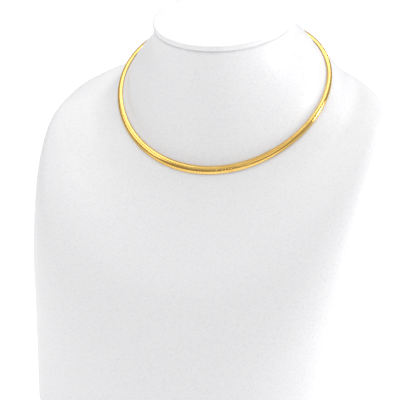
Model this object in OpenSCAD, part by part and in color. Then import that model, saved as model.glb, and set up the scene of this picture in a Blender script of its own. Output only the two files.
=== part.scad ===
// Omega necklace on a plain display neck bust.
// Millimetres. +Z is up, the bust faces -Y, and its foot stands on Z = 0 with its widest line on Y = 0.

/* [Necklace] */
// Length of the closed necklace along its core, with the clasp
necklace_len = 432; // [405:1:450]
// Size of the loop from front to back, over its size from side to side
loop_ratio = 0.92; // [0.88:0.01:1]
// Angle at which the loop slopes down to the front
loop_slope = 37.5; // [32:0.5:43]
// Height to which the sides ride up over the shoulders
loop_rise = 3; // [0:0.5:5]
// Height of the loop's middle above the foot
loop_height = 200; // [185:1:220]
// Angles between the band and the loop's axis, at its front, sides and back
band_slope_front = 70; // [62:1:76]
band_slope_side = 54; // [46:1:58]
band_slope_back = 12; // [4:1:24]

/* [Plates] */
// Width of the widest plates, at the front
plate_w = 5.5; // [5:0.1:7]
// Width of the plates that lie round the sides and the back
plate_back_w = 3.6; // [3.4:0.1:5]
// How much of the band narrows: at 1 it narrows all the way to the back, at 6 only near the front
narrowing = 4; // [1:0.5:6]
// Thickness of a plate from its flat back to its crown
plate_t = 1.9; // [1.8:0.05:2.4]
// Thickness of a plate at its two edges
plate_edge = 0.5; // [0.4:0.05:0.8]
// Metal between the core's slot and a plate's back
plate_wall = 0.4; // [0.3:0.05:0.5]
// Distance from one plate to the next along the core
plate_pitch = 1.9; // [1.8:0.05:2.4]
// Gap between two plates
plate_gap = 0.25; // [0.2:0.01:0.35]

/* [Core] */
// Width of the flat core that the plates are threaded on
core_w = 2; // [1.6:0.1:2.1]
// Thickness of the core
core_t = 0.5; // [0.4:0.05:0.6]
// Clearance round the core in its slot
core_clear = 0.15; // [0.12:0.01:0.2]
// Length of core that each end of the clasp holds
core_grip = 3; // [2:0.5:4]

/* [Clasp] */
// Length of the box clasp at the back, with its end caps
clasp_len = 16; // [13:0.5:20]
// Width of the end caps
clasp_w = 4.4; // [4:0.1:5.5]
// Thickness of the end caps
clasp_t = 2.5; // [2.3:0.1:3.2]
// Step from the end caps down to the box between them
clasp_step = 0.35; // [0.2:0.05:0.5]
// Length of each end cap
clasp_cap = 3.5; // [3:0.1:5]

/* [Bust] */
// Clearance between the bust and the necklace that lies on it
seat_clear = 0.3; // [0.2:0.05:0.5]
// Width of the straight strip of the bust under the band
seat_w = 8; // [7.5:0.5:10]
// Width over the shoulders
shoulder_w = 232; // [225:1:250]
// Distance by which the neck stands behind the widest line of the foot
chest_lean = 92; // [75:1:96]
// Reach of the chest ahead of each section's middle, at its fullest
chest_reach = 72; // [66:1:80]
// Reach of the back behind each section's middle, at its fullest
back_reach = 118; // [108:1:124]
// Rounding where the sides turn under the foot
foot_round = 2.5; // [1:0.5:4]

/* [Neck] */
// Radius of the neck at its top
neck_r = 45.6; // [42:0.1:48]
// Height of the neck's top above the loop's middle
neck_rise = 43; // [38:0.5:50]
// Angle at which the neck's top slopes down to the front
neck_slope = 13; // [8:0.5:15]
// Radius of the cap that closes the neck
cap_r = 46.6; // [43:0.1:49]
// Thickness of the cap
cap_t = 3.8; // [3:0.1:5]
// Rounding of the cap's two edges
cap_round = 1.2; // [0.6:0.1:1.4]
// Gap between the cap and the neck
cap_gap = 0.15; // [0.1:0.05:0.3]

/* [Hidden] */
$fn = 96;

COLS = 64;         // points round a section of the bust
STEPS = 4;         // bust sections from one row of a table to the next
SAMPLES = 720;     // samples of the loop, from which lengths along it are taken

// Sections of the neck, from the necklace up. Shares of the way from the band's upper side to the
// neck's top, inwards and upwards.
NECK_SHARES = [
    // in    up
    [0.15, 0.18],
    [0.46, 0.42],
    [0.87, 0.74],
];

// Sections of the chest and back, from the necklace down. Half widths are shares of half of shoulder_w,
// the lean of chest_lean, the reaches of chest_reach and back_reach, and the heights above the foot at
// the side, front and back are shares of loop_height. The last two are how square the section is in
// front and behind: 2 is an ellipse.
CHEST_SHARES = [
    // half_w lean  front  back   side_h front_h back_h square_f square_b
    [0.730, 0.048, 0.83, 0.580, 0.936, 0.700, 1.062, 2.0, 2.7],
    [0.860, 0.119, 0.93, 0.620, 0.931, 0.620, 0.998, 2.1, 2.8],
    [0.957, 0.222, 0.98, 0.690, 0.911, 0.543, 0.881, 2.2, 2.8],
    [0.988, 0.341, 1.00, 0.754, 0.809, 0.465, 0.728, 2.3, 2.7],
    [0.980, 0.452, 0.97, 0.805, 0.670, 0.385, 0.592, 2.4, 2.5],
    [0.958, 0.571, 0.90, 0.850, 0.510, 0.310, 0.448, 2.4, 2.4],
    [0.925, 0.682, 0.84, 0.880, 0.350, 0.242, 0.328, 2.3, 2.2],
    [0.878, 0.848, 0.74, 0.940, 0.180, 0.110, 0.175, 2.1, 1.9],
];
// The last section, where the sides meet the foot.
FOOT_SHARES = [0.832, 1, 0.62, 1, 0, 0, 0, 2.0, 1.75];

function unit(v) = v / norm(v);
function mix(a, b, k) = a + (b - a) * k;

// The loop. Its turn is 0 at the right side, 90 at the front and 270 at the back, at the clasp.
LOOP_UP = [0, -sin(loop_slope), cos(loop_slope)];
LOOP_MIDDLE = [0, chest_lean, loop_height];
function unit_loop(turn, rise) = [
    cos(turn),
    -loop_ratio * sin(turn) * cos(loop_slope),
    -loop_ratio * sin(turn) * sin(loop_slope) + rise * cos(2 * turn)
];
function chord(i, half_w) =
    norm(unit_loop((i + 1) * 360 / SAMPLES, loop_rise / half_w)
        - unit_loop(i * 360 / SAMPLES, loop_rise / half_w)) * half_w;
function loop_length(half_w, i = 0, sum = 0) =
    i == SAMPLES ? sum : loop_length(half_w, i + 1, sum + chord(i, half_w));
// One step of correction is enough, because the rise adds under a hundredth of the length.
first_half_w = necklace_len / 2 / PI;
loop_half_w = first_half_w * necklace_len / loop_length(first_half_w);

function loop_point(turn) =
    LOOP_MIDDLE + loop_half_w * unit_loop(turn, loop_rise / loop_half_w);
function along(turn) = unit([
    -loop_half_w * sin(turn),
    -loop_half_w * loop_ratio * cos(turn) * cos(loop_slope),
    -loop_half_w * loop_ratio * cos(turn) * sin(loop_slope) - 2 * loop_rise * sin(2 * turn)
]);
function outward(turn) = unit(cross(LOOP_UP, along(turn)));
function lean(turn) =
    band_slope_side + (band_slope_front - band_slope_back) / 2 * sin(turn)
    + ((band_slope_front + band_slope_back) / 2 - band_slope_side) * pow(sin(turn), 2);
// Across the band, down the body, and out of the band's face.
function across(turn) =
    cos(lean(turn)) * cross(outward(turn), along(turn)) + sin(lean(turn)) * outward(turn);
function facing(turn) = cross(along(turn), across(turn));

// Lengths along the core, from the middle of the clasp.
LENGTHS = [
    for (i = 0, sum = 0; i <= SAMPLES; sum = sum + chord(i + 0.75 * SAMPLES, loop_half_w), i = i + 1)
        [sum, 270 + i * 360 / SAMPLES]
];
full_len = LENGTHS[SAMPLES][0];
function turn_at(len) = lookup(len, LENGTHS);

plates_len = full_len - clasp_len;
plate_count = floor(plates_len / plate_pitch);
pitch = plates_len / plate_count;
plate_len = pitch - plate_gap;
slot_w = core_w + 2 * core_clear;
slot_t = core_t + 2 * core_clear;
back = slot_t / 2 + plate_wall;
dome_rise = plate_t - plate_edge;
function width_at(turn) =
    plate_back_w + (plate_w - plate_back_w) * pow((1 + sin(turn)) / 2, narrowing);
seat_drop = back + seat_clear;

// Points of the bust, as sections of COLS points each.
COL_TURNS = [for (i = [0 : COLS - 1]) i * 360 / COLS];
function seat_section(shift) = [
    for (turn = COL_TURNS) loop_point(turn) + shift * across(turn) - seat_drop * facing(turn)
];
NECK_MIDDLE = LOOP_MIDDLE + [0, 0, neck_rise];
function neck_top(turn) =
    NECK_MIDDLE
    + neck_r * [cos(turn), -sin(turn) * cos(neck_slope), -sin(turn) * sin(neck_slope)];
function neck_section(row) = [
    for (i = [0 : COLS - 1])
        let(low = UPPER_SEAT[i], top = neck_top(COL_TURNS[i]))
            [mix(low.x, top.x, row[0]), mix(low.y, top.y, row[0]), mix(low.z, top.z, row[1])]
];
function bulged(v, square) = sign(v) * pow(abs(v), 2 / square);
function chest_section(row, lift = 0, inset = 0) = [
    for (turn = COL_TURNS)
        let(
            half_w = row[0] * shoulder_w / 2 - inset,
            middle = (1 - row[1]) * chest_lean,
            reach = (sin(turn) > 0 ? row[2] * chest_reach : row[3] * back_reach) - inset,
            square = sin(turn) > 0 ? row[7] : row[8],
            side_h = row[4] * loop_height,
            front_h = row[5] * loop_height,
            back_h = row[6] * loop_height
        )
        [
            half_w * bulged(cos(turn), square),
            middle - reach * bulged(sin(turn), square),
            lift + side_h - (back_h - front_h) / 2 * sin(turn)
                - (side_h - (front_h + back_h) / 2) * pow(sin(turn), 2)
        ]
];

// A smooth run of sections through the given ones, which leaves the first along given directions.
function run(keys, start) = [
    for (i = [0 : len(keys) - 2])
        for (step = [0 : STEPS - 1])
            [
                for (j = [0 : COLS - 1])
                    let(
                        a = keys[i][j],
                        b = keys[i + 1][j],
                        from = i == 0 ? start[j] : unit(b - keys[i - 1][j]),
                        to = i == len(keys) - 2 ? unit(b - a) : unit(keys[i + 2][j] - a)
                    )
                    curve(a, b, from * norm(b - a), to * norm(b - a), step / STEPS)
            ]
];
function curve(a, b, from, to, k) =
    (2 * pow(k, 3) - 3 * pow(k, 2) + 1) * a + (pow(k, 3) - 2 * pow(k, 2) + k) * from
    + (3 * pow(k, 2) - 2 * pow(k, 3)) * b + (pow(k, 3) - pow(k, 2)) * to;
function backwards(list) = [for (i = [len(list) - 1 : -1 : 0]) list[i]];

UPPER_SEAT = seat_section(-seat_w / 2);
LOWER_SEAT = seat_section(seat_w / 2);
NECK_KEYS = concat(
    [UPPER_SEAT],
    [for (row = NECK_SHARES) neck_section(row)],
    [[for (turn = COL_TURNS) neck_top(turn)]]
);
CHEST_KEYS = concat(
    [LOWER_SEAT],
    [for (row = CHEST_SHARES) chest_section(row)],
    [chest_section(FOOT_SHARES, lift = foot_round)]
);
BUST_SECTIONS = concat(
    [NECK_KEYS[len(NECK_KEYS) - 1]],
    backwards(run(NECK_KEYS, [for (turn = COL_TURNS) -across(turn)])),
    run(CHEST_KEYS, [for (turn = COL_TURNS) across(turn)]),
    [CHEST_KEYS[len(CHEST_KEYS) - 1]],
    [chest_section(FOOT_SHARES, inset = foot_round)]
);

// The plain body of the display, one closed form from the neck's top to the foot.
module bust() {
    rows = len(BUST_SECTIONS);
    sides = [
        for (i = [0 : rows - 2])
            for (j = [0 : COLS - 1])
                let(a = i * COLS + j, b = i * COLS + (j + 1) % COLS)
                    each [[a, b + COLS, b], [a, a + COLS, b + COLS]]
    ];
    top = [for (j = [0 : COLS - 1]) j];
    foot = [for (j = [COLS - 1 : -1 : 0]) (rows - 1) * COLS + j];
    color("white")
        polyhedron([for (section = BUST_SECTIONS) each section], concat(sides, [top, foot]));
}

// The disc that closes the neck, a little wider than it, with rounded edges.
module neck_cap() {
    color("whitesmoke")
        translate(NECK_MIDDLE)
            rotate([neck_slope, 0, 0])
                translate([0, 0, cap_gap])
                    rotate_extrude($fn = 180) {
                        square([cap_r - cap_round, cap_t]);
                        translate([0, cap_round])
                            square([cap_r, cap_t - 2 * cap_round]);
                        for (h = [cap_round, cap_t - cap_round])
                            translate([cap_r - cap_round, h])
                                circle(cap_round);
                    }
}

// Puts a shape on the band: its X across the band, its Y out of the face and its Z along the core.
module on_band(turn) {
    x = across(turn);
    y = facing(turn);
    z = along(turn);
    p = loop_point(turn);
    multmatrix([
        [x.x, y.x, z.x, p.x],
        [x.y, y.y, z.y, p.y],
        [x.z, y.z, z.z, p.z],
        [0, 0, 0, 1]
    ])
        children();
}

module slot() {
    square([slot_w, slot_t], center = true);
}

// One plate of width w: a flat back, a domed face, and a slot for the core.
module plate(w) {
    dome_r = (pow(w / 2, 2) + pow(dome_rise, 2)) / 2 / dome_rise;
    linear_extrude(plate_len, center = true)
        difference() {
            intersection() {
                translate([-w / 2, -back])
                    square([w, plate_t]);
                translate([0, plate_t - back - dome_r])
                    circle(dome_r);
            }
            slot();
        }
}

// The plates, side by side along the core from one end of the clasp to the other.
module plates() {
    color("gold")
        for (i = [0 : plate_count - 1])
            let(turn = turn_at(clasp_len / 2 + (i + 0.5) * pitch))
                on_band(turn)
                    plate(width_at(turn));
}

// The flat core that runs through every plate and ends inside the clasp.
module core() {
    first = clasp_len / 2 - core_grip;
    last = full_len - clasp_len / 2 + core_grip;
    count = ceil((last - first) / pitch);
    corners = [[-1, -1], [1, -1], [1, 1], [-1, 1]];
    points = [
        for (i = [0 : count])
            let(turn = turn_at(mix(first, last, i / count)))
                for (c = corners)
                    loop_point(turn) + c.x * core_w / 2 * across(turn) + c.y * core_t / 2 * facing(turn)
    ];
    sides = [
        for (i = [0 : count - 1])
            for (j = [0 : 3])
                let(a = 4 * i + j, b = 4 * i + (j + 1) % 4)
                    each [[a, b + 4, b], [a, a + 4, b + 4]]
    ];
    color("goldenrod")
        polyhedron(points, concat(sides, [[0, 1, 2, 3], [for (j = [3 : -1 : 0]) 4 * count + j]]));
}

// The clasp's section, whose X is out of the band's face and whose Y is across the band.
module clasp_section(w, t) {
    corner = t / 4;
    translate([-back, 0]) {
        translate([0, -w / 2 + corner])
            square([t, w - 2 * corner]);
        translate([0, -w / 2])
            square([t - corner, w]);
        for (side = [-1, 1])
            translate([t - corner, side * (w / 2 - corner)])
                circle(corner);
    }
}

// The closed box clasp, curved like the loop behind the neck, between two end caps that hold the core.
module clasp() {
    bend_r = loop_half_w / loop_ratio;
    whole = clasp_len - plate_gap;
    function degrees_of(len) = len / bend_r * 180 / PI;
    module bent(from, to) {
        rotate([0, 0, degrees_of(from)])
            rotate_extrude(angle = degrees_of(to - from), $fn = 720)
                translate([bend_r, 0])
                    children();
    }
    x = facing(270);
    y = along(270);
    z = across(270);
    p = loop_point(270) - bend_r * x;
    color("gold")
        multmatrix([
            [x.x, y.x, z.x, p.x],
            [x.y, y.y, z.y, p.y],
            [x.z, y.z, z.z, p.z],
            [0, 0, 0, 1]
        ])
            difference() {
                union() {
                    bent(-whole / 2, whole / 2)
                        clasp_section(clasp_w - 2 * clasp_step, clasp_t - clasp_step);
                    for (from = [-whole / 2, whole / 2 - clasp_cap])
                        bent(from, from + clasp_cap)
                            clasp_section(clasp_w, clasp_t);
                }
                for (from = [-whole / 2 - 1, whole / 2 - core_grip - core_clear])
                    bent(from, from + core_grip + core_clear + 1)
                        square([slot_t, slot_w], center = true);
            }
}

bust();
neck_cap();
plates();
core();
clasp();
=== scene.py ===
# An omega necklace, a band of domed gold plates on a flat core, on a white leatherette neck bust.
# Metres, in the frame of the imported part: +Z up, the bust faces -Y, its foot stands on Z = 0.
import math

import bpy
from mathutils import Matrix, Vector


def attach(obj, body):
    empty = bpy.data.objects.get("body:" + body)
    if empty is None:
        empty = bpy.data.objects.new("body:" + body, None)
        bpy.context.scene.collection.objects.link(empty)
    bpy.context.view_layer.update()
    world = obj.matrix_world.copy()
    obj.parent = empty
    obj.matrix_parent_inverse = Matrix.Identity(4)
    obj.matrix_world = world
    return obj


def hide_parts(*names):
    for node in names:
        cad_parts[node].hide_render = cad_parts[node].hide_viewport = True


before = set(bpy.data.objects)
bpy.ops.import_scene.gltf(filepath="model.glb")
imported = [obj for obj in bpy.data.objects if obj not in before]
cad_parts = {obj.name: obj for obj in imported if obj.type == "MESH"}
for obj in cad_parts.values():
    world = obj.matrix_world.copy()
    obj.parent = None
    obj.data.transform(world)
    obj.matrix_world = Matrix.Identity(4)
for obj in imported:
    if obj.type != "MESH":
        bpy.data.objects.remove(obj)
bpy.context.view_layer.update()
bpy.ops.object.select_all(action="DESELECT")


# Camera
# A long lens a metre from the middle of the necklace, a little above it and to the right of its front.
# It points lower than the necklace, so that the necklace is in the upper half of the picture.
LOOP_MIDDLE = Vector((0, 0.092, 0.200))
CAMERA_AZIMUTH = math.radians(18.6)
CAMERA_ELEVATION = math.radians(14)
CAMERA_DISTANCE = 1.0
CAMERA_AIM = Vector((-0.0076, 0.0670, 0.1269))
CAMERA_SENSOR = 36
CAMERA_LENS = 135.1


def point_at(thing, aim):
    """Turns a camera or light, which look along their own -Z, towards a place."""
    thing.rotation_euler = (aim - thing.location).to_track_quat("-Z", "Y").to_euler()


camera_side = Vector((
    math.sin(CAMERA_AZIMUTH) * math.cos(CAMERA_ELEVATION),
    -math.cos(CAMERA_AZIMUTH) * math.cos(CAMERA_ELEVATION),
    math.sin(CAMERA_ELEVATION),
))
bpy.ops.object.camera_add(location=LOOP_MIDDLE + CAMERA_DISTANCE * camera_side)
camera = bpy.context.object
camera.name = "camera"
point_at(camera, CAMERA_AIM)
camera.data.sensor_width = CAMERA_SENSOR
camera.data.lens = CAMERA_LENS
bpy.context.scene.camera = camera


# Bust
# The body of the display is a light moulded shell under tight white leatherette, which is glued on and
# turned in under the foot. A sheet of pale felt covers the foot inside that turned edge.
NECK_TOP_LOWEST = 0.22
FOOT_HEIGHT = 0.0001
FELT_EDGE = 0.004
BUST_SMOOTHING = math.radians(40)
QUAD_BEND = math.radians(40)  # two triangles make a quad when they are no more bent or skewed
QUAD_SKEW = math.radians(60)
FACING = 0.9  # the least cosine between a face's normal and the direction that it faces
MERGE_DISTANCE = 0.000002  # two places closer than this are one
LEATHERETTE = (0.86, 0.86, 0.87, 1)
LEATHERETTE_VALLEY = (0.80, 0.80, 0.82, 1)
LEATHERETTE_ROUGHNESS = 0.42
LEATHERETTE_ROUGHNESS_SPREAD = 0.05
GRAIN_SIZE = 0.0011
GRAIN_ROUNDING = 0.6
GRAIN_DEPTH = 0.00006
GRAIN_STRENGTH = 0.8
GRAIN_TONE_SPAN = (0.3, 0.9)
WAVE_SIZE = 0.00275
WAVE_DETAIL = 3
WAVE_SPAN = (0.3, 0.7)
FELT = (0.62, 0.62, 0.60, 1)
FELT_DARK = (0.50, 0.50, 0.49, 1)
FELT_ROUGHNESS = 0.95
FELT_SHEEN = 0.3
FELT_DEPTH = 0.0002
FIBRES_PER_METRE = 1500
FIBRE_DETAIL = 5
FIBRE_CURL = 1.5


def set_inputs(owner, node, settings):
    """Sets inputs of a node in a material or world. An output of another node is linked to its input."""
    for name, value in settings.items():
        if isinstance(value, bpy.types.NodeSocket):
            owner.node_tree.links.new(value, node.inputs[name])
        else:
            node.inputs[name].default_value = value


def add_node(owner, kind, settings):
    """Adds a node to a material or world and sets its inputs."""
    node = owner.node_tree.nodes.new(kind)
    set_inputs(owner, node, settings)
    return node


def new_material(name):
    """A material, its shader, and the place on the object that its patterns go by."""
    material = bpy.data.materials.new(name)
    material.use_nodes = True
    place = add_node(material, "ShaderNodeTexCoord", {}).outputs["Object"]
    return material, material.node_tree.nodes["Principled BSDF"], place


def noise(material, place, scale, detail=2, distortion=0):
    """Soft random waves between 0 and 1."""
    settings = {"Vector": place, "Scale": scale, "Detail": detail, "Distortion": distortion}
    return add_node(material, "ShaderNodeTexNoise", settings).outputs["Fac"]


def two_tones(material, factor, low, high, span=(0, 1)):
    """A colour that runs from one tone to the other over the span of the factor."""
    ramp = add_node(material, "ShaderNodeValToRGB", {"Fac": factor})
    for element, position, tone in zip(ramp.color_ramp.elements, span, (low, high)):
        element.position = position
        element.color = tone
    return ramp.outputs["Color"]


def varied(material, factor, middle, spread, span=(0, 1)):
    """A value that varies by the spread on both sides of a middle, over the span of the factor."""
    return add_node(material, "ShaderNodeMapRange", {
        "Value": factor,
        "From Min": span[0],
        "From Max": span[1],
        "To Min": middle - spread,
        "To Max": middle + spread,
    }).outputs["Result"]


def relief(material, height, depth, strength=1):
    """Fine relief that rises and falls with the height."""
    settings = {"Height": height, "Distance": depth, "Strength": strength}
    return add_node(material, "ShaderNodeBump", settings).outputs["Normal"]


def leatherette(name, roughness, colour, valley):
    """Tight fine-grained leatherette: shallow rounded cells with narrow valleys between them."""
    material, shader, place = new_material(name)
    cells = add_node(material, "ShaderNodeTexVoronoi", {"Vector": place, "Scale": 1 / GRAIN_SIZE})
    cells.feature = "SMOOTH_F1"
    set_inputs(material, cells, {"Smoothness": GRAIN_ROUNDING})
    valleys = cells.outputs["Distance"]
    waves = noise(material, place, 1 / WAVE_SIZE, WAVE_DETAIL)
    height = add_node(material, "ShaderNodeMath", {0: waves, 1: valleys})
    height.operation = "SUBTRACT"
    set_inputs(material, shader, {
        "Base Color": two_tones(material, valleys, colour, valley, GRAIN_TONE_SPAN),
        "Roughness": varied(material, waves, roughness, LEATHERETTE_ROUGHNESS_SPREAD, WAVE_SPAN),
        "Normal": relief(material, height.outputs["Value"], GRAIN_DEPTH, GRAIN_STRENGTH),
    })
    return material


def felt(name):
    """Pressed felt: short fibres in two close tones, quite matt."""
    material, shader, place = new_material(name)
    fibres = noise(material, place, FIBRES_PER_METRE, FIBRE_DETAIL, FIBRE_CURL)
    set_inputs(material, shader, {
        "Roughness": FELT_ROUGHNESS,
        "Sheen Weight": FELT_SHEEN,
        "Base Color": two_tones(material, fibres, FELT_DARK, FELT),
        "Normal": relief(material, fibres, FELT_DEPTH),
    })
    return material


def edit(kind):
    """Goes to edit mode to work on faces or vertices, whichever are selected."""
    bpy.ops.object.mode_set(mode="EDIT")
    bpy.ops.mesh.select_mode(type=kind)


def edit_all(kind):
    """Goes to edit mode with everything selected."""
    edit(kind)
    bpy.ops.mesh.select_all(action="SELECT")


def edit_only(piece, kind, wanted):
    """Goes to edit mode with only those faces or vertices selected for which wanted(part) is true."""
    mesh = piece.data
    for parts in (mesh.vertices, mesh.edges, mesh.polygons):
        parts.foreach_set("select", [False] * len(parts))
    for part in mesh.polygons if kind == "FACE" else mesh.vertices:
        part.select = wanted(part)
    edit(kind)


def leave_edit():
    """Goes back to object mode, which brings the mesh up to date."""
    bpy.ops.object.mode_set(mode="OBJECT")


def at_foot(face):
    """On the flat underside."""
    return face.center.z < FOOT_HEIGHT and face.normal.z < -FACING


def at_neck_top(face):
    """On the flat sloping top of the neck."""
    return face.center.z > NECK_TOP_LOWEST and face.normal.z > FACING


bust = bpy.data.objects.new("bust_form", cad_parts["bust"].data.copy())
bpy.context.scene.collection.objects.link(bust)
bpy.context.view_layer.objects.active = bust
bust.select_set(True)
edit_all("FACE")
bpy.ops.mesh.remove_doubles(threshold=MERGE_DISTANCE)
bpy.ops.mesh.tris_convert_to_quads(face_threshold=QUAD_BEND, shape_threshold=QUAD_SKEW)
leave_edit()
for flat_end in (at_foot, at_neck_top):
    edit_only(bust, "FACE", flat_end)
    bpy.ops.mesh.dissolve_faces()
    bpy.ops.mesh.region_to_loop()
    bpy.ops.transform.edge_crease(value=1)
    leave_edit()
bpy.ops.object.modifier_add(type="SUBSURF")
rounding = bust.modifiers[-1]
rounding.levels = 1
rounding.render_levels = 1
bpy.ops.object.modifier_apply(modifier=rounding.name)

bust.data.materials.clear()
bust.data.materials.append(
    leatherette("white_leatherette", LEATHERETTE_ROUGHNESS, LEATHERETTE, LEATHERETTE_VALLEY)
)
bust.data.materials.append(felt("foot_felt"))
edit_only(bust, "FACE", at_foot)
bpy.ops.mesh.inset(thickness=FELT_EDGE)
bust.active_material_index = 1
bpy.ops.object.material_slot_assign()
bpy.ops.mesh.select_all(action="DESELECT")
leave_edit()
bpy.ops.object.shade_smooth_by_angle(angle=BUST_SMOOTHING)
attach(bust, "root")
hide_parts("bust")
bust.select_set(False)


# Neck cap
# A thin board with a rounded edge, glued on the sloping top of the neck and a little wider than it. The
# bust's leatherette wraps its rim and covers its top, and padding gives the top a faint crown. The top's
# leatherette is painted whiter, a painted highlight where the top faces the light.
NECK_MIDDLE = LOOP_MIDDLE + Vector((0, 0, 0.043))
NECK_SLOPE = math.radians(13)
CAP_SIDES = 160
CAP_RADIUS = 0.0466
CAP_THICKNESS = 0.0038
CAP_ROUND = 0.0013
CAP_ROUND_STEPS = 5
CAP_GAP = 0.00015
CAP_CROWN_RINGS = ((0.80, 0.00012), (0.55, 0.00022), (0.28, 0.00030))  # share of the radius, rise
CAP_SMOOTHING = math.radians(40)
CAP_PAINTED_HIGHLIGHT_FACING = 0.75
# painted highlight: the cap's top is coloured whiter than its rim, where the light falls on it
CAP_TOP_PAINTED_HIGHLIGHT = (0.97, 0.97, 0.98, 1)
CAP_TOP_PAINTED_HIGHLIGHT_VALLEY = (0.93, 0.93, 0.94, 1)
CAP_TOP_ROUGHNESS = 0.45

bpy.ops.mesh.primitive_cylinder_add(vertices=CAP_SIDES, radius=CAP_RADIUS, depth=CAP_THICKNESS)
neck_cap = bpy.context.object
neck_cap.name = "neck_cap_board"
edit_only(neck_cap, "FACE", lambda face: abs(face.normal.z) > FACING)
bpy.ops.mesh.region_to_loop()
bpy.ops.mesh.bevel(offset=CAP_ROUND, segments=CAP_ROUND_STEPS)
leave_edit()
radius_now = CAP_RADIUS - CAP_ROUND
rise_now = 0
for share, rise in CAP_CROWN_RINGS:
    edit_only(neck_cap, "FACE", lambda face: len(face.vertices) == CAP_SIDES and face.normal.z > FACING)
    bpy.ops.mesh.inset(thickness=radius_now - share * CAP_RADIUS)
    bpy.ops.transform.translate(value=(0, 0, rise - rise_now))
    leave_edit()
    radius_now = share * CAP_RADIUS
    rise_now = rise
edit_only(neck_cap, "FACE", lambda face: len(face.vertices) == CAP_SIDES)
bpy.ops.mesh.poke()
bpy.ops.mesh.select_all(action="DESELECT")
leave_edit()
bpy.ops.object.shade_smooth_by_angle(angle=CAP_SMOOTHING)
neck_cap.data.materials.append(
    leatherette("cap_rim_leatherette", LEATHERETTE_ROUGHNESS, LEATHERETTE, LEATHERETTE_VALLEY)
)
neck_cap.data.materials.append(
    leatherette("cap_top_painted_highlight_leatherette", CAP_TOP_ROUGHNESS, CAP_TOP_PAINTED_HIGHLIGHT, CAP_TOP_PAINTED_HIGHLIGHT_VALLEY)
)
# faces that look up take the whiter leatherette, a painted highlight on the cap's top
for face in neck_cap.data.polygons:
    face.material_index = 1 if face.normal.z > CAP_PAINTED_HIGHLIGHT_FACING else 0
neck_cap.matrix_world = (
    Matrix.Translation(NECK_MIDDLE)
    @ Matrix.Rotation(NECK_SLOPE, 4, "X")
    @ Matrix.Translation((0, 0, CAP_GAP + CAP_THICKNESS / 2))
)
bpy.ops.object.transform_apply(location=True, rotation=True, scale=True)
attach(neck_cap, "root")
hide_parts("neck_cap")
neck_cap.select_set(False)


# Core
# The plates are threaded on a flat ribbon of woven gold wire, which the plates hide but for the seams
# between them.
CORE_GOLD = (0.72, 0.50, 0.20, 1)
# painted shade: the low squares of the weave are coloured darker than the high ones
CORE_GOLD_PAINTED_SHADE = (0.42, 0.26, 0.08, 1)
CORE_ROUGHNESS = 0.35
WIRE = 0.00035
WIRE_DEPTH = 0.00005


def woven_gold(name):
    """Fine woven wire: small squares by turns light and high or dark and low; the darker tone is painted
    shade in the low squares.
    """
    material, shader, place = new_material(name)
    squares = add_node(material, "ShaderNodeTexChecker", {
        "Vector": place,
        "Scale": 1 / WIRE,
        "Color1": CORE_GOLD,
        # the dark squares are painted shade where the wire dips
        "Color2": CORE_GOLD_PAINTED_SHADE,
    })
    set_inputs(material, shader, {
        "Metallic": 1,
        "Roughness": CORE_ROUGHNESS,
        "Base Color": squares.outputs["Color"],
        "Normal": relief(material, squares.outputs["Fac"], WIRE_DEPTH),
    })
    return material


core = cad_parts["core"]
core.data.materials.clear()
core.data.materials.append(woven_gold("core_weave"))


# Plates
# Each plate is stamped from gold sheet with a domed face and a flat back, and its long edges are rounded
# and polished. A slot lets the core through. They lie side by side from one end of the clasp to the other.
NECKLACE_LENGTH = 0.432
LOOP_RATIO = 0.92  # depth of the loop to its width
LOOP_SLOPE = math.radians(37.5)
LOOP_RISE = 0.003  # the sides of the loop lie this much above its plane
SLOPE_FRONT = math.radians(70)  # lean of the band against the plane of the loop
SLOPE_SIDE = math.radians(54)
SLOPE_BACK = math.radians(12)
BACK_DEGREES = 270
LOOP_SAMPLES = 720
CLASP_LENGTH = 0.016
PLATE_COUNT = 218
PLATE_WIDTH = 0.0055
PLATE_WIDTH_BACK = 0.0036
NARROWING = 4  # the higher, the sooner the band narrows
PLATE_THICKNESS = 0.0019
PLATE_EDGE = 0.0005  # thickness at the long edges, beside the dome
PLATE_GAP = 0.00006
PLATE_ROUND = 0.00009
PLATE_BACK = 0.0008  # from the core's middle to the back of the plate
PLATE_SMOOTHING = math.radians(30)
DOME_STEPS = 6
PLACE_DIGITS = 7  # decimals to which the places of a column of vertices agree
SLOT_WIDTH = 0.0023
SLOT_HEIGHT = 0.0008
SLOT_INSET = 0.0003
SLOT_SPLIT = -0.00005  # corners above this height become the slot's top
SLOT_SPREAD = 0.61  # how far out they go, as a share of where they are
GOLD = (0.87, 0.58, 0.18, 1)
GOLD_DEEP = (0.76, 0.48, 0.13, 1)
GOLD_TONE_SCALE = 60
GOLD_TONE_DETAIL = 3
GOLD_TONE_SPAN = (0.35, 0.65)
PLATE_ROUGHNESS = 0.12
GOLD_ROUGHNESS_SPREAD = 0.08
SCRATCHES_PER_METRE = 4000
SCRATCH_DEPTH = 0.00001
SCRATCH_STRENGTH = 0.5


def loop_point(turn, half_width):
    """The middle line of the band. Turn 0 is the right side, 90 degrees the front, 270 the back."""
    reach = -half_width * LOOP_RATIO * math.sin(turn)
    return LOOP_MIDDLE + Vector((
        half_width * math.cos(turn),
        reach * math.cos(LOOP_SLOPE),
        reach * math.sin(LOOP_SLOPE) + LOOP_RISE * math.cos(2 * turn),
    ))


def loop_lengths(half_width):
    """Length along the loop at each sample, from the middle of the clasp, with the sample's turn."""
    turns = [math.radians(BACK_DEGREES + 360 * i / LOOP_SAMPLES) for i in range(LOOP_SAMPLES + 1)]
    lengths = [0]
    for before, after in zip(turns, turns[1:]):
        step = loop_point(after, half_width) - loop_point(before, half_width)
        lengths.append(lengths[-1] + step.length)
    return lengths, turns


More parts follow.
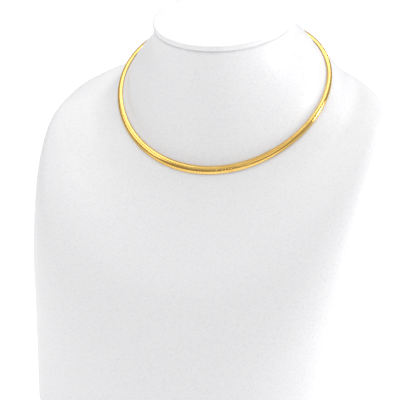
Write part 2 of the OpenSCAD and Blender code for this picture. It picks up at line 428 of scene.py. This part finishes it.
ROUND_HALF_WIDTH = NECKLACE_LENGTH / 2 / math.pi
LOOP_HALF_WIDTH = ROUND_HALF_WIDTH * NECKLACE_LENGTH / loop_lengths(ROUND_HALF_WIDTH)[0][-1]
LENGTHS, TURNS = loop_lengths(LOOP_HALF_WIDTH)
PLATE_PITCH = (LENGTHS[-1] - CLASP_LENGTH) / PLATE_COUNT


def turn_at(length):
    """The turn at a length along the loop."""
    i = next(i for i, reached in enumerate(LENGTHS) if reached >= length)
    share = (length - LENGTHS[i - 1]) / (LENGTHS[i] - LENGTHS[i - 1])
    return TURNS[i - 1] + share * (TURNS[i] - TURNS[i - 1])


def band_axes(turn):
    """Across the band, out of its face, and along it."""
    reach = -LOOP_HALF_WIDTH * LOOP_RATIO * math.cos(turn)
    along = Vector((
        -LOOP_HALF_WIDTH * math.sin(turn),
        reach * math.cos(LOOP_SLOPE),
        reach * math.sin(LOOP_SLOPE) - 2 * LOOP_RISE * math.sin(2 * turn),
    )).normalized()
    outward = Vector((0, -math.sin(LOOP_SLOPE), math.cos(LOOP_SLOPE))).cross(along).normalized()
    lean = (
        SLOPE_SIDE
        + (SLOPE_FRONT - SLOPE_BACK) / 2 * math.sin(turn)
        + ((SLOPE_FRONT + SLOPE_BACK) / 2 - SLOPE_SIDE) * math.sin(turn) ** 2
    )
    across = math.cos(lean) * outward.cross(along) + math.sin(lean) * outward
    return across, along.cross(across), along


def place_on_band(turn):
    """Takes a plate from the origin to its place and direction on the band."""
    turned = Matrix(band_axes(turn)).transposed().to_4x4()
    return Matrix.Translation(loop_point(turn, LOOP_HALF_WIDTH)) @ turned


def width_at(turn):
    """The band is widest at the front and soon narrows towards the sides."""
    front_share = ((1 + math.sin(turn)) / 2) ** NARROWING
    return PLATE_WIDTH_BACK + (PLATE_WIDTH - PLATE_WIDTH_BACK) * front_share


def polished_gold(name, roughness):
    """Polished gold with the finest scratches, and a slightly deeper tone in places."""
    material, shader, place = new_material(name)
    tones = noise(material, place, GOLD_TONE_SCALE, GOLD_TONE_DETAIL)
    scratches = noise(material, place, SCRATCHES_PER_METRE)
    set_inputs(material, shader, {
        "Metallic": 1,
        "Base Color": two_tones(material, tones, GOLD_DEEP, GOLD, GOLD_TONE_SPAN),
        "Roughness": varied(material, scratches, roughness, GOLD_ROUGHNESS_SPREAD),
        "Normal": relief(material, scratches, SCRATCH_DEPTH, SCRATCH_STRENGTH),
    })
    return material


def add_block(name, middle, size):
    """A box whose place and size are laid down in its mesh."""
    bpy.ops.mesh.primitive_cube_add(size=1, location=middle)
    block = bpy.context.object
    block.name = name
    block.scale = size
    bpy.ops.object.transform_apply(location=True, rotation=True, scale=True)
    return block


def cut(place, direction):
    """Cuts the faces of the active piece along a plane, and keeps both sides."""
    edit_all("VERT")
    bpy.ops.mesh.bisect(plane_co=place, plane_no=direction)
    leave_edit()


def selected_corners(piece):
    """The indexes of the vertices of all selected faces."""
    return sorted({index for face in piece.data.polygons if face.select for index in face.vertices})


# The plate lies across X, with its back at -Y, its crown at +Y and the core along Z.
dome_rise = PLATE_THICKNESS - PLATE_EDGE
dome_radius = ((PLATE_WIDTH / 2) ** 2 + dome_rise ** 2) / 2 / dome_rise
dome_angle = math.asin(PLATE_WIDTH / 2 / dome_radius)
plate = add_block(
    "plate",
    (0, PLATE_THICKNESS / 2 - PLATE_BACK, 0),
    (PLATE_WIDTH, PLATE_THICKNESS, PLATE_PITCH - PLATE_GAP),
)
for step in range(1, DOME_STEPS):
    cut((dome_radius * math.sin(dome_angle * (2 * step / DOME_STEPS - 1)), 0, 0), (1, 0, 0))
for x in sorted({round(vertex.co.x, PLACE_DIGITS) for vertex in plate.data.vertices}):
    drop = dome_radius - math.sqrt(dome_radius ** 2 - min(abs(x), PLATE_WIDTH / 2) ** 2)
    edit_only(plate, "VERT", lambda vertex: abs(vertex.co.x - x) < MERGE_DISTANCE and vertex.co.y > 0)
    bpy.ops.transform.translate(value=(0, -drop, 0))
    leave_edit()
for end in (-1, 1):
    edit_only(plate, "FACE", lambda face: face.normal.z * end > FACING)
    bpy.ops.mesh.dissolve_faces()
    leave_edit()
edit_only(plate, "FACE", lambda face: face.normal.y < -FACING)
bpy.ops.mesh.dissolve_faces(use_verts=True)
leave_edit()
edit_only(plate, "FACE", lambda face: abs(face.normal.z) > FACING)
bpy.ops.mesh.region_to_loop()
bpy.ops.mesh.bevel(offset=PLATE_ROUND, segments=1)
leave_edit()

# The corners of a smaller face at each end are moved to the outline of the slot. Those on the dome become
# its top, a little narrower than the rest so that the narrow plates at the back keep a wall beside it.
edit_only(plate, "FACE", lambda face: abs(face.normal.z) > FACING)
bpy.ops.mesh.inset(thickness=SLOT_INSET)
leave_edit()
slot_corners = selected_corners(plate)
for index in slot_corners:
    corner = plate.data.vertices[index].co
    corner.x = max(-SLOT_WIDTH / 2, min(SLOT_WIDTH / 2, corner.x * SLOT_SPREAD))
    corner.y = math.copysign(SLOT_HEIGHT / 2, corner.y - SLOT_SPLIT)
plate.vertex_groups.new(name="slot").add(slot_corners, 1, "REPLACE")
edit("FACE")
bpy.ops.mesh.bridge_edge_loops()
bpy.ops.mesh.select_all(action="SELECT")
bpy.ops.mesh.remove_doubles(threshold=MERGE_DISTANCE)
bpy.ops.mesh.normals_make_consistent(inside=False)
bpy.ops.mesh.select_all(action="DESELECT")
leave_edit()
bpy.ops.object.shade_smooth_by_angle(angle=PLATE_SMOOTHING)
plate.data.materials.append(polished_gold("plate_polish", PLATE_ROUGHNESS))
plate.select_set(False)

# Each copy is narrowed to the band's width at its place, but its slot isn't.
band = []
for i in range(PLATE_COUNT):
    link = bpy.data.objects.new(f"plate_{i:03d}", plate.data.copy())
    turn = turn_at(CLASP_LENGTH / 2 + (i + 0.5) * PLATE_PITCH)
    for vertex in link.data.vertices:
        if not vertex.groups:
            vertex.co.x *= width_at(turn) / PLATE_WIDTH
    link.data.transform(place_on_band(turn))
    bpy.context.scene.collection.objects.link(link)
    link.select_set(True)
    band.append(link)
bpy.data.objects.remove(plate)
bpy.context.view_layer.objects.active = band[0]
bpy.ops.object.join()
plates = bpy.context.object
plates.name = "band_plates"
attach(plates, "root")
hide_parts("plates")
plates.select_set(False)


# Clasp
# A polished gold box clasp, bent to the neck. The ends of the core are held in pockets of its two thicker
# end caps. It is closed, so its tongue doesn't show.
CLASP_WIDTH = 0.0044
CLASP_THICKNESS = 0.0025
CLASP_GAP = 0.00025
CLASP_CAP = 0.0035
CLASP_STEP = 0.00035
CLASP_STEP_EDGE = 0.00001
CLASP_CUTS = (1, 0.75, 0.5, 0.25, 0)
CLASP_ROUND = 0.00045
CLASP_ROUND_STEPS = 3
CLASP_SHARP = math.radians(50)
CLASP_ROUGHNESS = 0.18
END_DEPTH = 0.0001
POCKET_DEPTH = 0.0036
POCKET_ROOM = 0.0001
POCKET_INSET = 0.0009
POCKET_SPLIT = 0.0003  # corners farther out of the face than this become the pocket's top

# The loop is bent least at its back, where an oval's radius is its half width divided by its ratio.
bend_radius = LOOP_HALF_WIDTH / LOOP_RATIO
half_length = (CLASP_LENGTH - CLASP_GAP) / 2
box_half_length = half_length - CLASP_CAP
pocket_half_height = SLOT_HEIGHT / 2 + POCKET_ROOM
pocket_half_width = SLOT_WIDTH / 2 + POCKET_ROOM


def on_box(face):
    """On the front or a side of the box, between the end caps."""
    sideways = face.normal.x > FACING or abs(face.normal.z) > FACING
    return abs(face.center.y) < box_half_length and sideways


def at_end(face):
    """On the flat end of either cap, or inside it."""
    return abs(face.center.y) > half_length - END_DEPTH and abs(face.normal.y) > FACING


def at_pocket(face):
    """The smaller face in the middle of either end."""
    reach = max(abs(clasp.data.vertices[index].co.z) for index in face.vertices)
    return at_end(face) and reach < pocket_half_width + END_DEPTH


# The section lies in the XZ plane, X out of the face and Z across, and turns about Z to follow the bend.
clasp = add_block(
    "clasp_box",
    (bend_radius - PLATE_BACK + CLASP_THICKNESS / 2, 0, 0),
    (CLASP_THICKNESS, 2 * half_length, CLASP_WIDTH),
)
for reach in [box_half_length * share for share in CLASP_CUTS] + [half_length - CLASP_CAP / 2]:
    for side in (-1, 1):
        cut((0, side * reach, 0), (0, 1, 0))
edit_all("VERT")
bpy.ops.mesh.remove_doubles(threshold=MERGE_DISTANCE)
leave_edit()
edit_only(clasp, "FACE", on_box)
bpy.ops.mesh.inset(thickness=CLASP_STEP_EDGE, depth=-CLASP_STEP)
leave_edit()
edit_only(clasp, "FACE", at_end)
bpy.ops.mesh.inset(thickness=POCKET_INSET)
leave_edit()
for index in selected_corners(clasp):
    corner = clasp.data.vertices[index].co
    corner.x = bend_radius + math.copysign(pocket_half_height, corner.x - bend_radius - POCKET_SPLIT)
    corner.z = math.copysign(pocket_half_width, corner.z)
for side in (-1, 1):
    edit_only(clasp, "FACE", lambda face: at_pocket(face) and face.normal.y * side > 0)
    bpy.ops.mesh.extrude_region_move(TRANSFORM_OT_translate={"value": (0, -side * POCKET_DEPTH, 0)})
    leave_edit()
for vertex in clasp.data.vertices:
    angle = vertex.co.y / bend_radius
    radius = vertex.co.x
    vertex.co.x = radius * math.cos(angle)
    vertex.co.y = radius * math.sin(angle)
bpy.ops.object.modifier_add(type="BEVEL")
rounding = clasp.modifiers[-1]
rounding.width = CLASP_ROUND
rounding.segments = CLASP_ROUND_STEPS
rounding.limit_method = "ANGLE"
rounding.angle_limit = CLASP_SHARP
bpy.ops.object.modifier_apply(modifier=rounding.name)
bpy.ops.object.shade_smooth_by_angle(angle=CLASP_SHARP)
back_turn = math.radians(BACK_DEGREES)
across, facing, along = band_axes(back_turn)
clasp.matrix_world = (
    Matrix.Translation(loop_point(back_turn, LOOP_HALF_WIDTH) - bend_radius * facing)
    @ Matrix((facing, along, across)).transposed().to_4x4()
)
bpy.ops.object.transform_apply(location=True, rotation=True, scale=True)
clasp.data.materials.append(polished_gold("clasp_polish", CLASP_ROUGHNESS))
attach(clasp, "root")
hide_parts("clasp")
clasp.select_set(False)


# Floor
# A wide matt white sweep that reaches the horizon. It glows a little, as paper lit from all round does.
FLOOR_SIZE = 40
FLOOR_WHITE = (0.93, 0.93, 0.93, 1)
FLOOR_WHITE_DULL = (0.90, 0.90, 0.90, 1)
FLOOR_MOTTLE_SCALE = 60
FLOOR_ROUGHNESS = 0.8
FLOOR_GLOW = 0.4
FLOOR_GLOW_COLOUR = (1, 1, 1, 1)


def sweep_paper(name):
    """Matt paper in two close whites."""
    material, shader, place = new_material(name)
    mottle = noise(material, place, FLOOR_MOTTLE_SCALE)
    set_inputs(material, shader, {
        "Roughness": FLOOR_ROUGHNESS,
        "Emission Color": FLOOR_GLOW_COLOUR,
        "Emission Strength": FLOOR_GLOW,
        "Base Color": two_tones(material, mottle, FLOOR_WHITE_DULL, FLOOR_WHITE),
    })
    return material


bpy.ops.mesh.primitive_plane_add(size=FLOOR_SIZE)
floor = bpy.context.object
floor.name = "floor"
floor.data.materials.append(sweep_paper("floor_paper"))
floor.select_set(False)


# Light
# A studio of plain zones, one above the other: dark near the horizon, which draws the dark line in the
# gold, and brighter the higher. Four soft lights add the shading of the bust.
ROOM_SHADES = (  # height of the direction, from 0 at the horizon to 1 straight up, and its shade
    (0.03, (0.05, 0.045, 0.04, 1)),
    (0.11, (0.06, 0.05, 0.04, 1)),
    (0.17, (0.40, 0.40, 0.40, 1)),
    (0.60, (0.50, 0.50, 0.50, 1)),
    (0.78, (0.85, 0.85, 0.85, 1)),
)
SOFTBOXES = (  # name, place and aim from the middle of the necklace, size, watts
    ("left_softbox", (-0.68, -0.46, 0.57), (0, -0.03, -0.05), 0.5, 1.3),
    ("front_softbox", (0.30, -0.90, 0.60), (0, -0.02, -0.02), 0.5, 0.5),
    ("right_softbox", (0.84, 0.07, 0.14), (0.03, 0, 0.03), 0.25, 2.8),
    ("top_softbox", (0, 0.18, 1.13), (0, -0.02, -0.02), 0.8, 4.4),
)

world = bpy.data.worlds.new("room")
world.use_nodes = True
bpy.context.scene.world = world
direction = add_node(world, "ShaderNodeTexCoord", {}).outputs["Generated"]
height = add_node(world, "ShaderNodeSeparateXYZ", {"Vector": direction}).outputs["Z"]
zones = add_node(world, "ShaderNodeValToRGB", {"Fac": height})
for start, shade in ROOM_SHADES:
    zones.color_ramp.elements.new(start).color = shade
for own_end in (0, -1):
    zones.color_ramp.elements.remove(zones.color_ramp.elements[own_end])
set_inputs(world, world.node_tree.nodes["Background"], {"Color": zones.outputs["Color"], "Strength": 1})

for name, offset, aim_offset, size, watts in SOFTBOXES:
    bpy.ops.object.light_add(type="AREA", location=LOOP_MIDDLE + Vector(offset))
    light = bpy.context.object
    light.name = name
    point_at(light, LOOP_MIDDLE + Vector(aim_offset))
    light.data.size = size
    light.data.energy = watts
    light.select_set(False)
bpy.context.scene.view_settings.view_transform = "Standard"
